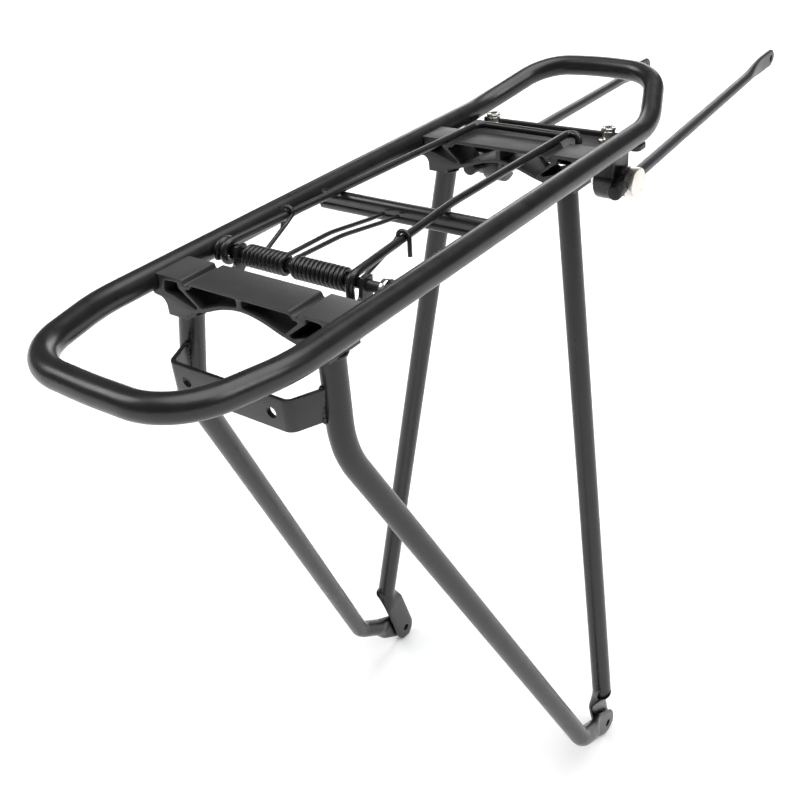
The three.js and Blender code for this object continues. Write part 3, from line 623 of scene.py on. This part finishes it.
def half_bridge_outline(arch_drop):
    """The right half of the bridge's outline in x and z, from its top round to the arch below."""
    top = BRIDGE_TOP
    floor = top - GROOVE_DEPTH
    left, right = GROOVE_X - GROOVE_HALF, GROOVE_X + GROOVE_HALF
    points = arc_points((left - 1.3, top - 1.2), 1.2, 90, 10, 6)
    points += [(left + 0.4, floor + 0.5), (GROOVE_X - 0.9, floor), (GROOVE_X + 0.9, floor)]
    points += [(right - 0.4, floor + 0.5)]
    points += arc_points((right + 1.0, top - 0.9), 0.9, 170, 90, 5)
    meet = math.degrees(math.asin((top - RAIL_Z) / SADDLE_R))
    points += arc_points((RAIL_X, RAIL_Z), SADDLE_R, 180 - meet, 262, 16)
    points += [(54.8, 377.4), (53.2, 376.9), (50.2, 376.6), (48.3, 375.3), (47.4, 373.2), (47.3, NODE_Z)]
    points += [(NODE_X - 6.2, NODE_Z), (34.7, 370.2), (33.0, 371.5)]
    arch = [(30, 372.8), (26.4, 373.7), (22.6, 374.8), (19.2, 376.0),
            (15.9, 377.3), (12.2, 378.5), (8.7, 379.4), (4.4, 380.2)]
    return points + [(x, z - arch_drop) for x, z in arch]


def bridge_windows(arch_drop):
    """The right half's windows, in x and z."""
    under = BRIDGE_TOP - BRIDGE_WALL
    main = soft_corners(
        [(1.4, under), (28.4, under), (30.4, 383.9), (34.0, 383.9),
         (24.5, 376.2 - arch_drop), (12.4, 380.4 - arch_drop), (1.4, 382.3 - arch_drop)],
        [1.2, 2.2, 1.0, 0.8, 0.9, 8, 1.5])
    outer = soft_corners(
        [(37.4, 386.2), (45.6, 385.8), (47.2, 380.0), (42.5, 379.2),
         (28.6, 374.9), (26.7, 376.0), (37.0, 383.6)],
        [0.8, 1.6, 1.4, 8, 0.7, 0.6, 1.4])
    return [main, outer]


def bridge(name, low_y, high_y, arch_drop):
    half = half_bridge_outline(arch_drop)
    middle = (0, 380.5 - arch_drop)
    outline = [(x, z) for x, z in half] + [middle] + [(-x, z) for x, z in reversed(half)]
    windows = bridge_windows(arch_drop)
    mirrored = [[(-x, z) for x, z in window] for window in windows]
    mesh = slab([outline, *windows, *mirrored], low_y, high_y, edge=0.28, plane="XZ")
    finished(name + "_extrusion", mesh, BRIDGE_BLACK, "root", [name])


def front_plate():
    half_x = plate_high.x
    inner = RAIL_X - SADDLE_R + 2.6
    outline = soft_corners(
        [(-inner, plate_low.y), (inner, plate_low.y), (inner, EAR_REAR_Y), (half_x, EAR_REAR_Y),
         (half_x, plate_high.y), (-half_x, plate_high.y), (-half_x, EAR_REAR_Y), (-inner, EAR_REAR_Y)],
        [1, 1, 2, 3, 4, 4, 3, 2])
    slots = []
    reach = (SLOT_LENGTH - SLOT_WIDTH) / 2
    for side in (-1, 1):
        right = arc_points((side * SLOT_X + reach, SLOT_Y), SLOT_WIDTH / 2, -90, 90, 10)
        left = arc_points((side * SLOT_X - reach, SLOT_Y), SLOT_WIDTH / 2, 90, 270, 10)
        slots.append(right + left)
    base = slab([outline, *slots], plate_low.z, PLATE_TOP, edge=0.3)
    lip_x = RAIL_X - SADDLE_R - 0.4
    lip_foot = plate_low.z + 0.5
    lip_profile = soft_corners(
        [(LIP_Y, lip_foot), (plate_high.y, lip_foot), (plate_high.y, plate_high.z), (LIP_Y, plate_high.z)],
        [0.2, 0.2, 1.1, 1.0])
    lip = slab([lip_profile], -lip_x, lip_x, edge=0.25, plane="YZ")
    finished("slotted_plate", union(base, lip), BRIDGE_BLACK, "root", ["front_plate"])


def crossbar():
    upper = arc_points((CROSSBAR_Y, CROSSBAR_UPPER["z"]), CROSSBAR_UPPER["r"], -35, 215, 22)
    lower = arc_points((CROSSBAR_Y, CROSSBAR_LOWER["z"]), CROSSBAR_LOWER["r"], 145, 395, 22)
    mesh = slab([upper + lower], -CROSSBAR_HALF, CROSSBAR_HALF, edge=0.2, plane="YZ")
    finished("cross_bar", mesh, FRAME_BLACK, "root", ["mid_crossbar"])


# ---------------------------------------------------------------- legs
def flatten(mesh, tab):
    """Squeezes the last stretch of a round bar into a tab that is thin along X and has a round end."""
    along = tab["direction"]
    across = Vector((1, 0, 0)).cross(along).normalized()
    total = tab["flat"] + tab["blend"]
    half = tab["half"]
    for vertex in mesh.vertices:
        back = (tab["tip"] - vertex.co).dot(along)
        if back > total:
            continue
        spine = tab["tip"] - along * back
        offset = vertex.co - spine
        squeeze = smooth((total - back) / tab["blend"])
        end_width = math.sqrt(max(half ** 2 - max(half - back, 0) ** 2, 0))
        width = lerp(1, end_width / tab["radius"], squeeze)
        thin = tab["thick"] / 2
        flat_x = thin * math.tanh(2.4 * offset.x / tab["radius"])
        placed = spine + across * (offset.dot(across) * width)
        placed.x += lerp(offset.x, flat_x, squeeze) + lerp(0, tab["middle_x"] - spine.x, squeeze)
        vertex.co = placed


def with_tab_stations(path, tab):
    """Stations close together over a flattened end, and closer still round its tip."""
    tip = path[-1]
    along = (path[-1] - path[-2]).normalized()
    steps = 14
    backs = [tab["flat"] + tab["blend"] * (1 - k / steps) for k in range(steps)]
    backs += [lerp(tab["flat"], tab["half"], k / 4) for k in range(4)]
    backs += [tab["half"] * (1 - math.sin(math.radians(a))) for a in range(0, 90, 6)]
    backs += [tab["half"] * 0.001]
    return path[:-1] + [tip - along * back for back in backs]


def leg(name, corners, radii, tab):
    path = rounded(corners, radii, step=2)
    mesh = sweep(with_tab_stations(path, tab), TUBE_R, sides=56, start_up=(1, 0, 0))
    flatten(mesh, tab)
    hole = peg("x", tab["middle_x"] - 8, tab["middle_x"] + 8, M5_HOLE_R, (0, 0), sides=32)
    finished(name + "_tube", cut(mesh, hole), FRAME_BLACK, "root", [name])


def tab_for(side, tab_x, far_point, lengths, middle_x):
    eyelet = Vector((side * tab_x, 0, 0))
    direction = (eyelet - Vector(far_point)).normalized()
    return {**lengths, "tip": eyelet + direction * TAB_HALF, "direction": direction, "radius": TUBE_R,
            "thick": TAB_THICK - FACE_GAP, "half": TAB_HALF, "middle_x": side * middle_x}


def mirrored_point(point, side):
    return (side * point[0], point[1], point[2])


def legs(name, side):
    tab_x = EYELET_X + TAB_THICK / 2
    heel = mirrored_point(REAR_LEG["heel"], side)
    tab = tab_for(side, tab_x, heel, REAR_TAB, tab_x + FACE_GAP / 2)
    top, knee = (mirrored_point(REAR_LEG[bend], side) for bend in ("top", "knee"))
    corners = [top, knee, heel, tab["tip"]]
    leg(f"rear_leg_{name}", corners, [0, REAR_LEG["knee_r"], REAR_LEG["heel_r"], 0], tab)
    tab_x = EYELET_X - TAB_THICK / 2
    ankle = mirrored_point(FRONT_LEG["ankle"], side)
    tab = tab_for(side, tab_x, ankle, FRONT_TAB, tab_x - FACE_GAP / 2)
    corners = [mirrored_point(FRONT_LEG["top"], side), ankle, tab["tip"]]
    leg(f"front_leg_{name}", corners, [0, FRONT_LEG["ankle_r"], 0], tab)
    for spot, (x, y) in TOP_WELDS.items():
        ring = circle_ring((side * x, y, NODE_Z - 0.4), (0, 0, 1), TUBE_R + 0.3)
        weld_bead(f"{spot}_top_weld_{name}", ring, 0.9)


# ---------------------------------------------------------------- light bracket
def light_bracket():
    low, high = node_box("light_bracket")
    face_y = low.y + LIGHT_THICK / 2
    end_x, end_y = LIGHT_ARM_END
    corners = [(-end_x, end_y, 0), (-LIGHT_HALF, face_y, 0), (LIGHT_HALF, face_y, 0), (end_x, end_y, 0)]
    line = rounded(corners, [0, LIGHT_BEND_R, LIGHT_BEND_R, 0], step=8)
    normals = [Vector((-way.y, way.x, 0)) for way in tangents(line, False)]
    left = [(p.x + n.x * LIGHT_THICK / 2, p.y + n.y * LIGHT_THICK / 2) for p, n in zip(line, normals)]
    right = [(p.x - n.x * LIGHT_THICK / 2, p.y - n.y * LIGHT_THICK / 2) for p, n in zip(line, normals)]
    strip = slab([left + right[::-1]], low.z, high.z, edge=0.35)
    middle_z = (low.z + high.z) / 2
    holes = [peg("y", low.y - 5, low.y + 8, M5_HOLE_R, (side * LIGHT_HOLE_X, middle_z)) for side in (-1, 1)]
    finished("light_strip", cut(strip, *holes), FRAME_BLACK, "root", ["light_bracket"])
    for name, side in SIDES.items():
        weld_run(f"light_weld_{name}", light_seam(side, low.z, high.z), 1.25, side)


def light_seam(side, low_z, high_z):
    """Where an arm of the strip meets its leg, which leans inward and forward as it rises."""
    ends = []
    for z in (low_z - 0.6, high_z + 0.6):
        rise = z - 339.5
        ends.append(Vector((side * (44.7 - 0.085 * rise), -176.7 + 0.126 * rise, z)))
    to_surface = Vector((-side * 3.2, -5.6, 0))
    return [lerp(*ends, k / 24) + to_surface for k in range(25)]


# ---------------------------------------------------------------- axle, lugs, springs and flap
def axle():
    rod = peg("x", axle_low.x, axle_high.x, AXLE_R, (AXLE_Y, AXLE_Z), chamfer=0.3)
    finished("axle_rod", rod, FRAME_BLACK, "root", ["spring_axle"])
    low, high = node_box("axle_clip")
    ring = peg("x", low.x, high.x, (high.z - low.z) / 2, (AXLE_Y, AXLE_Z), chamfer=0.6)
    bore = peg("x", low.x - 1, high.x + 1, AXLE_R + 0.05, (AXLE_Y, AXLE_Z))
    finished("axle_ring", cut(ring, bore), NICKEL, "root", ["axle_clip"])


def lug(name, side):
    low, high = node_box(f"axle_lug_{name}")
    outline = soft_corners(
        [(low.y - 0.6, 372.5), (AXLE_Y - 2.5, 374.2), (AXLE_Y + 2.6, 379.2), (AXLE_Y + 3.4, 388),
         (AXLE_Y - 2.8, 388.4), (AXLE_Y - 4.4, 384), (AXLE_Y - 5.4, 379.4), (low.y - 0.6, 379)],
        [0.3, 4, 3, 0.8, 0.8, 4, 2.5, 0.3])
    hole = arc_points((AXLE_Y, AXLE_Z), AXLE_R + 0.1, 0, 345, 23)
    mesh = slab([outline, hole], low.x, high.x, edge=0.3, plane="YZ")
    finished(f"lug_{name}", mesh, FRAME_BLACK, "root", [f"axle_lug_{name}"])


def helix(radius, from_x, to_x, from_angle, to_angle, per_turn=28):
    """Points on a helix about the axle, the angle measured from straight up, towards the front."""
    steps = math.ceil(abs(to_angle - from_angle) / (2 * math.pi) * per_turn)
    points = []
    for k in range(steps + 1):
        angle = lerp(from_angle, to_angle, k / steps)
        x = lerp(from_x, to_x, k / steps)
        points.append(Vector((x, AXLE_Y + radius * math.sin(angle), AXLE_Z + radius * math.cos(angle))))
    return points


def arm_height(y):
    share = (y - AXLE_Y) / (CROSSBAR_Y - 10 - AXLE_Y)
    return lerp(AXLE_Z + FLAP_LOOP_R, FLAP_REST_Z, min(share, 1))


def arm_x(name, y):
    if name == "left":
        share = (y - AXLE_Y) / (FLAP_FRONT_Y - AXLE_Y)
        return lerp(FLAP_LEFT["rear_x"], FLAP_LEFT["front_x"], share)
    if y < FLAP_MID_Y:
        return lerp(FLAP_RIGHT["rear_x"], FLAP_RIGHT["mid_x"], (y - AXLE_Y) / (FLAP_MID_Y - AXLE_Y))
    return lerp(FLAP_RIGHT["mid_x"], FLAP_RIGHT["front_x"], (y - FLAP_MID_Y) / (FLAP_FRONT_Y - FLAP_MID_Y))


def arm_path(side, arm, corners, radii):
    """One arm of the flap: its tail, over or round the axle, and forward."""
    turns = helix(FLAP_LOOP_R, arm["rear_x"] + side * arm["drift"], arm["rear_x"], arm["turn"], 0)
    tail = Vector((turns[0].x, turns[0].y, arm["tail_z"]))
    return [tail, *turns, *rounded(corners, radii, step=4)]


def flap():
    z = FLAP_REST_Z
    near = AXLE_Y + 4
    left = arm_path(-1, FLAP_LEFT, [
        (arm_x("left", near), near, arm_height(near)),
        (FLAP_LEFT["front_x"], FLAP_FRONT_Y, z),
        (FLAP_RIGHT["front_x"], FLAP_FRONT_Y - 1.5, z),
    ], [0, 7, 0])
    right = arm_path(1, FLAP_RIGHT, [
        (arm_x("right", near), near, arm_height(near)),
        (FLAP_RIGHT["mid_x"], FLAP_MID_Y, z),
        (FLAP_RIGHT["front_x"], FLAP_CURL_Y, z),
        (FLAP_RIGHT["front_x"] + 6.8, FLAP_CURL_Y - 1.2, z),
        (FLAP_RIGHT["front_x"] + 8, FLAP_CURL_Y - 2.4, z - 4.5),
    ], [0, 60, 3.2, 3, 0])
    wires = [sweep(path, FLAP_R, sides=24, dome=0.5) for path in (left, right)]
    finished("flap_wire", union(*wires), WIRE_BLACK, "flap", ["spring_flap"], sharp=50)


def spring(name, side):
    """A torsion spring as one wire: inner leg, coil, outer leg and the hook over the flap's arm."""
    inner_x = SPRINGS[name]["inner_x"]
    rest_x = SPRINGS[name]["rest_x"]
    count = SPRINGS[name]["turns"]
    outer_x = inner_x + side * COIL_PITCH * count
    hook_arm_x = arm_x(name, HOOK_Y)
    hook_arm_z = arm_height(HOOK_Y)
    reach = FLAP_R + SPRING_R + 0.1
    inner_leg = rounded([
        (rest_x, CROSSBAR_Y - 3.9, 382),
        (lerp(inner_x, rest_x, 0.75), -83, 383.6),
        (lerp(inner_x, rest_x, 0.45), -110, 387.6),
        (inner_x, AXLE_Y + 3, AXLE_Z + COIL_R),
    ], [0, 30, 60, 0], step=4)
    turns = helix(COIL_R, inner_x, outer_x, 0, -2 * math.pi * count, per_turn=26)
    leg_x = outer_x + side * HOOK_LEG_SHIFT
    approach = rounded([
        (leg_x, AXLE_Y + 1.2, AXLE_Z - COIL_R),
        (leg_x, HOOK_LEG_Y, AXLE_Z - 2.6),
        (hook_arm_x - side * reach, HOOK_Y - 7, hook_arm_z - 3.5),
        (hook_arm_x - side * reach, HOOK_Y, hook_arm_z + 0.1),
    ], [0, 14, 5, 0], step=5)[:-1]
    over = arc_points((0, 0), reach, 180, 0, 12)
    bend = [Vector((hook_arm_x + side * across, HOOK_Y, hook_arm_z + up)) for across, up in over]
    tail = Vector((hook_arm_x + side * (reach + 0.8), HOOK_Y - 1.5, hook_arm_z - 8))
    path = [*inner_leg[:-1], *turns, *approach, *bend, tail]
    mesh = sweep(path, SPRING_R, sides=14, dome=0.25)
    nodes = [f"spring_coil_{name}", f"spring_hook_{name}"]
    piece = finished(f"torsion_spring_{name}", mesh, WIRE_BLACK, None, nodes, sharp=60)
    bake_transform(piece)


# ---------------------------------------------------------------- stays and their clamps
def stay_point(side, along):
    return Vector((side * STAY_X, EYE_Y, EYE_Z)) + Vector(STAY_DIRECTION[side]).normalized() * along


def stay(name, side):
    direction = Vector(STAY_DIRECTION[side]).normalized()
    tab = {**STAY_TAB, "tip": stay_point(side, STAY_FRONT), "direction": direction, "radius": STAY_R,
           "middle_x": stay_point(side, STAY_HOLE).x}
    path = with_tab_stations([stay_point(side, -STAY_BACK), tab["tip"]], tab)
    mesh = sweep(path, STAY_R, sides=40, start_up=(1, 0, 0))
    flatten(mesh, tab)
    spot = stay_point(side, STAY_HOLE)
    hole = peg("x", spot.x - 6, spot.x + 6, M5_HOLE_R, (spot.y, spot.z), sides=32)
    finished(f"stay_{name}", cut(mesh, hole), STAY_BLACK, f"stay_{name}", [f"stay_rod_{name}"])
    back = stay_point(side, -STAY_BACK - 2.4)
    mouth = stay_point(side, -STAY_BACK + 5.2)
    cap = sweep([back, lerp(back, mouth, 0.5), mouth], STAY_R + CAP_WALL, sides=36, dome=1.1)
    bore = sweep([stay_point(side, -STAY_BACK), stay_point(side, -STAY_BACK + 9)], STAY_R + 0.05, sides=36)
    finished(f"end_cap_{name}", cut(cap, bore), CAP_RUBBER, f"stay_{name}", [f"stay_cap_{name}"])


def eye_bore(side):
    return sweep([stay_point(side, -15), stay_point(side, 15)], STAY_R + 0.2, sides=40)


def eye_bolt(name, side):
    at = (EYE_Y, EYE_Z)
    inner, outer = EYE_HEAD_X
    head = peg("x", side * inner, side * outer, EYE_HEAD_R, at, sides=64, chamfer=0.5)
    boss = peg("x", side * EYE_BOSS_X, side * (inner + 1), EYE_BOSS_R, at)
    low, high = node_box(f"eye_bolt_{name}")
    tip = low.x if side > 0 else high.x
    shank = peg("x", tip, side * (EYE_BOSS_X + 1), EYE_SHANK_R, at, chamfer=0.5)
    body = f"eye_{name}"
    bolt = cut(union(head, boss, shank), eye_bore(side))
    finished(f"eye_bolt_body_{name}", bolt, DISC_NICKEL, body, [f"eye_bolt_{name}"])
    ring = peg("x", side * EYE_BOSS_X, side * (inner - 0.15), EYE_HEAD_R - 0.1, at, sides=64, chamfer=0.35)
    inside = peg("x", side * (EYE_BOSS_X - 1), side * (inner + 1), EYE_BOSS_R + 0.1, at)
    collar = cut(ring, inside, eye_bore(side))
    finished(f"collar_{name}", collar, FRAME_BLACK, body, [f"stay_collar_{name}"])
    low, high = node_box(f"eye_nut_{name}")
    nut = hexagon("x", low.x, high.x, EYE_NUT_ACROSS, at)
    bore = peg("x", low.x - 1, high.x + 1, EYE_SHANK_R + 0.05, at)
    finished(f"eye_bolt_nut_{name}", cut(nut, bore), NICKEL, body, [f"eye_nut_{name}"])


def stay_bracket(name, side):
    """A block with a straight waist and a round lower barrel about the eye bolt, its edges softened."""
    low, high = node_box(f"stay_bracket_{name}")
    rear, front = EYE_Y - BRACKET_HALF_Y, EYE_Y + BRACKET_HALF_Y
    shoulder = high.z - BRACKET_CORNER
    spread = math.degrees(math.asin(BRACKET_HALF_Y / BARREL_R))
    outline = arc_points((EYE_Y, EYE_Z), BARREL_R, 90 + spread, 450 - spread, 60)
    outline += [(front, shoulder), (front - BRACKET_CORNER, high.z)]
    outline += [(rear + BRACKET_CORNER, high.z), (rear, shoulder)]
    block = slab([outline], low.x, high.x, edge=0.9, plane="YZ")
    bolt = peg("x", low.x - 2, high.x + 2, EYE_SHANK_R + 0.2, (EYE_Y, EYE_Z))
    screw = peg("z", SCREW_TIP_Z - 1, high.z + 2, 2.75, (side * CLAMP_X, SLOT_Y))
    mesh = cut(block, bolt, screw)
    finished(f"bracket_{name}", mesh, FRAME_BLACK, f"bracket_{name}", [f"stay_bracket_{name}"])


def clamp(name, side):
    place = (side * CLAMP_X, SLOT_Y)
    low, high = node_box(f"clamp_screw_{name}")
    top = high.z
    r = (high.x - low.x) / 2
    neck = HEAD_NECK_R
    seat = top - HEAD_HEIGHT
    profile = [(low.z, 0), (low.z, 2.0), (low.z + 0.6, 2.5), (seat, 2.5), (seat, neck - 0.2),
               (seat + 0.3, neck), (top - 2.6, neck + 0.15), (top - 1.9, r - 0.2), (top - 1.6, r),
               (top - 0.7, r), (top - 0.25, r - 0.2), (top, r - 0.7), (top, 0)]
    screw = turned_part(profile, "z", (*place, 0), 56)
    socket = hexagon("z", top - SOCKET_DEPTH, top + 2, SOCKET_ACROSS, place, chamfer=0)
    body = f"clamp_{name}"
    finished(f"cap_screw_{name}", cut(screw, socket), NICKEL, body, [f"clamp_screw_{name}"])
    low, high = node_box(f"clamp_washer_{name}")
    washer = peg("z", low.z, high.z, (high.x - low.x) / 2, place, chamfer=0.25)
    bore = peg("z", low.z - 1, high.z + 1, M5_HOLE_R, place)
    finished(f"washer_{name}", cut(washer, bore), NICKEL, body, [f"clamp_washer_{name}"])


# ---------------------------------------------------------------- studio
FLOOR_HALF = 12  # metres, as are the lights' places
CAMERA_PLACE = (289.11, -433.06, 565.77)
CAMERA_AZIMUTH = 39.426
CAMERA_ELEVATION = 31.967
CAMERA_ROLL = -5.593
CAMERA_LENS = 44.98


def camera():
    azimuth, elevation, roll = (math.radians(a) for a in (CAMERA_AZIMUTH, CAMERA_ELEVATION, CAMERA_ROLL))
    level = math.cos(elevation)
    back = Vector((math.sin(azimuth) * level, -math.cos(azimuth) * level, math.sin(elevation)))
    level_right = (-back).cross(Vector((0, 0, 1))).normalized()
    level_up = level_right.cross(-back)
    right = level_right * math.cos(roll) + level_up * math.sin(roll)
    up = level_up * math.cos(roll) - level_right * math.sin(roll)
    data = bpy.data.cameras.new("camera")
    data.sensor_width = 36
    data.lens = CAMERA_LENS
    data.clip_start = 0.01
    seen_from = bpy.data.objects.new("camera", data)
    matrix = Matrix((right, up, back)).transposed().to_4x4()
    matrix.translation = Vector(CAMERA_PLACE) * MM
    seen_from.matrix_world = matrix
    bpy.context.scene.collection.objects.link(seen_from)
    bpy.context.scene.camera = seen_from


def softbox(name, place, aim, size, power):
    data = bpy.data.lights.new(name, "AREA")
    data.shape = "RECTANGLE"
    data.size, data.size_y = size
    data.energy = power
    light = bpy.data.objects.new(name, data)
    light.location = place
    light.rotation_euler = (Vector(aim) - Vector(place)).to_track_quat("-Z", "Y").to_euler()
    bpy.context.scene.collection.objects.link(light)


def broad_light(name, toward, strength, spread, colour=(1, 1, 1)):
    """Even light over the whole floor, arriving from a wide round patch of that many degrees."""
    data = bpy.data.lights.new(name, "SUN")
    data.energy = strength
    data.angle = math.radians(spread)
    data.color = colour
    light = bpy.data.objects.new(name, data)
    light.rotation_euler = Vector(toward).to_track_quat("Z", "Y").to_euler()
    bpy.context.scene.collection.objects.link(light)


def studio():
    floor = bmesh.new()
    bmesh.ops.create_grid(floor, x_segments=8, y_segments=8, size=FLOOR_HALF)
    mesh = bpy.data.meshes.new("floor")
    floor.to_mesh(mesh)
    floor.free()
    ground = bpy.data.objects.new("floor", mesh)
    ground.location = (0, 0, cad_box[0][2] - 0.0005)
    mesh.materials.append(floor_material())
    bpy.context.scene.collection.objects.link(ground)
    world = bpy.data.worlds.new("studio_world")
    world.use_nodes = True
    background = world.node_tree.nodes["Background"]
    background.inputs["Color"].default_value = (0.93, 0.96, 1.0, 1)
    background.inputs["Strength"].default_value = 0.16
    bpy.context.scene.world = world
    broad_light("overhead", (0.15, 0.1, 1), 3.2, 64)
    broad_light("left_rear", (-1.0, -0.5, 1.0), 1.1, 26, (1.0, 0.98, 0.98))
    broad_light("right", (1.0, 0.1, 0.75), 0.9, 26, (0.97, 0.98, 1.0))
    softbox("far_panel", (-0.9, 1.9, 0.95), (0, 0.1, 0.35), (1.4, 0.7), 10)
    scene = bpy.context.scene
    scene.view_settings.view_transform = "Standard"
    scene.view_settings.look = "None"


# ---------------------------------------------------------------- assembly
camera()
platform_loop()
bridge("rear_bridge", rear_low.y, rear_high.y, 0.0)
bridge("front_bridge", front_low.y, front_high.y, 1.6)
front_plate()
crossbar()
light_bracket()
axle()
flap()
for side_name, side_sign in SIDES.items():
    legs(side_name, side_sign)
    lug(side_name, side_sign)
    spring(side_name, side_sign)
    stay(side_name, side_sign)
    eye_bolt(side_name, side_sign)
    stay_bracket(side_name, side_sign)
    clamp(side_name, side_sign)
studio()
